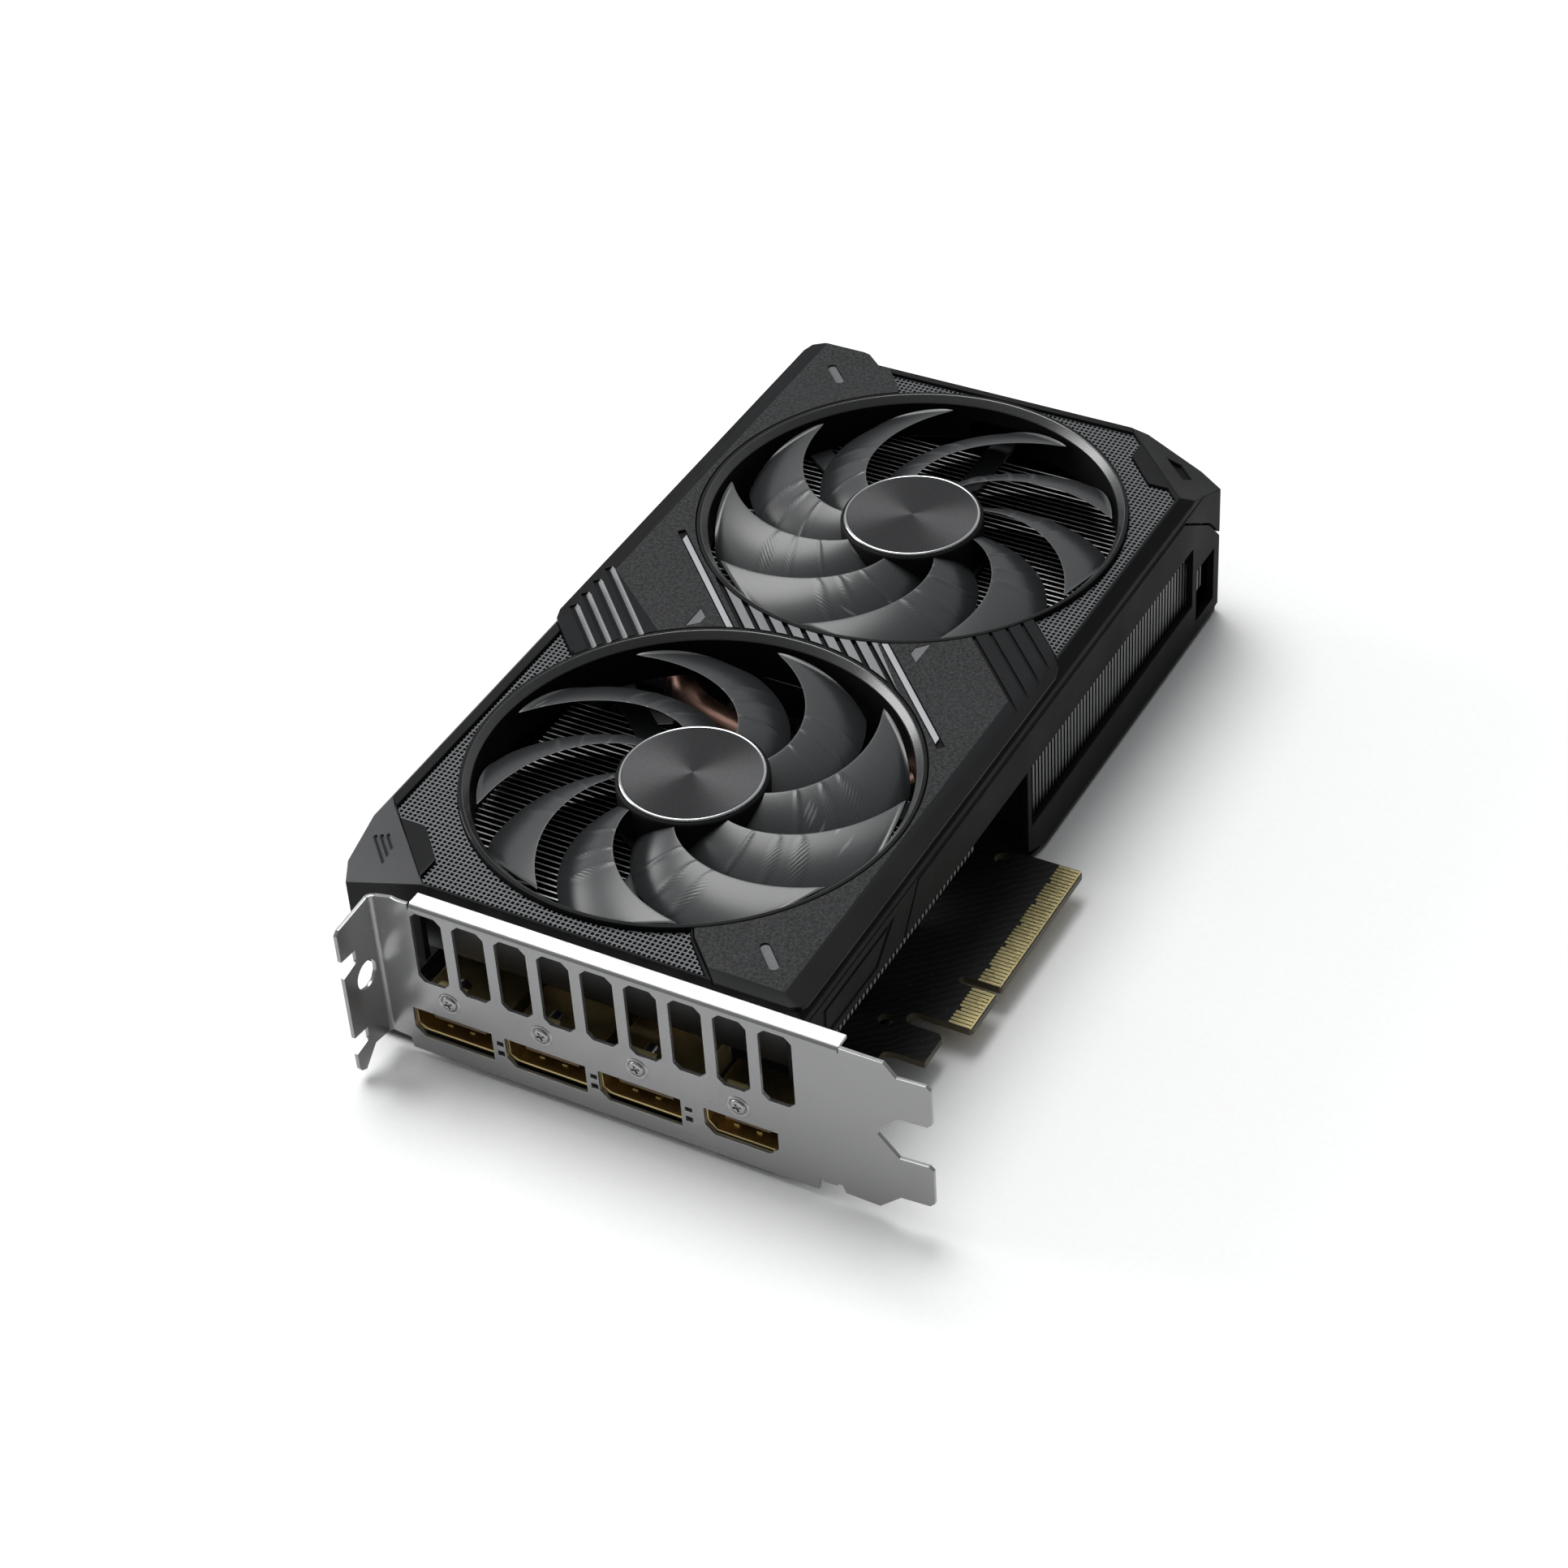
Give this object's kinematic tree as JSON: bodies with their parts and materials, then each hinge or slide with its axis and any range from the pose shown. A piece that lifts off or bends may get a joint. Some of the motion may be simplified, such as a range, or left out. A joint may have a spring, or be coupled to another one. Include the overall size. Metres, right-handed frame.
{
  "type": "graphics card",
  "caption": "Expansion card with a vented metal slot bracket, video sockets, keyed edge connector and an air cooler with spinning fans in a dark angular shroud.",
  "frame": {"origin": "middle of the insertion edge of the long edge-connector tongue, halfway through the board", "axes": "+X from the slot bracket towards the tail, -Y the way the card is pushed into its slot, +Z from the backplate towards the fans"},
  "size_m": [0.215, 0.1319, 0.0411],
  "materials": {
    "shroud_plastic": "fine moulded grain, near black",
    "cover_plastic": "coarser sparkling grain, charcoal",
    "back_plastic": "smooth black",
    "accent": "satin light grey paint",
    "mesh_plastic": "perforated, grey",
    "blade_plastic": "satin charcoal with raised ridges",
    "hub_cap": "black anodised, turned rings",
    "bracket_steel": "satin nickel-plated sheet",
    "screw_steel": "bright plated",
    "socket_gold": "gold-flash plated shell",
    "contact_gold": "hard gold pads",
    "bearing_brass": "plain",
    "connector_plastic": "black moulding",
    "board": "black solder mask",
    "chip": "moulded package",
    "die": "bare silicon",
    "pad": "soft gap pad",
    "fins": "stamped fin sheet",
    "copper": "copper",
    "nickel": "nickel-plated base"
  },
  "bodies": {
    "card": {"slot_bracket": "bracket_steel", "bracket_screw_1": "screw_steel", "bracket_screw_2": "screw_steel", "bracket_screw_3": "screw_steel", "bracket_screw_4": "screw_steel", "video_socket_1_shell": "socket_gold", "video_socket_1_tongue": "connector_plastic", "video_socket_2_shell": "socket_gold", "video_socket_2_tongue": "connector_plastic", "video_socket_3_shell": "socket_gold", "video_socket_3_tongue": "connector_plastic", "video_socket_4_shell": "socket_gold", "video_socket_4_tongue": "connector_plastic", "circuit_board": "board", "edge_contacts_short_front": "contact_gold", "edge_contacts_long_front": "contact_gold", "edge_contacts_short_rear": "contact_gold", "edge_contacts_long_rear": "contact_gold", "gpu_substrate": "chip", "gpu_die": "die", "memory_chip_1": "chip", "memory_chip_2": "chip", "memory_chip_3": "chip", "memory_chip_4": "chip", "thermal_pad_1": "pad", "thermal_pad_2": "pad", "inductor_1": "chip", "inductor_2": "chip", "inductor_3": "chip", "capacitor_1": "screw_steel", "capacitor_2": "screw_steel", "fan_header": "connector_plastic", "power_connector": "connector_plastic", "cold_plate": "nickel", "retention_frame": "screw_steel", "heatpipe_1": "copper", "heatpipe_2": "copper", "heatpipe_3": "copper", "fin_stack_front": "fins", "fin_stack_rear": "fins", "shroud_frame": "shroud_plastic", "centre_cover": "cover_plastic", "accent_bar_1": "accent", "accent_bar_2": "accent", "mesh_insert_1": "mesh_plastic", "mesh_insert_2": "mesh_plastic", "lower_shell": "shroud_plastic", "backplate": "back_plastic", "fan_1_bearing": "bearing_brass", "fan_1_stator": "copper", "fan_1_support": "shroud_plastic", "fan_2_bearing": "bearing_brass", "fan_2_stator": "copper", "fan_2_support": "shroud_plastic"},
    "fan_1": {"fan_1_rotor": "blade_plastic", "fan_1_hub_cap": "hub_cap", "fan_1_shaft": "screw_steel"},
    "fan_2": {"fan_2_rotor": "blade_plastic", "fan_2_hub_cap": "hub_cap", "fan_2_shaft": "screw_steel"}
  },
  "joints": [
    {"name": "fan_1_spin", "type": "hinge", "parent": "card", "child": "fan_1", "pos_m": [-0.0218, 0.0652, 0.03119], "axis": [0, 0, 1], "continuous": true},
    {"name": "fan_2_spin", "type": "hinge", "parent": "card", "child": "fan_2", "pos_m": [0.0737, 0.0652, 0.03119], "axis": [0, 0, 1], "continuous": true}
  ]
}
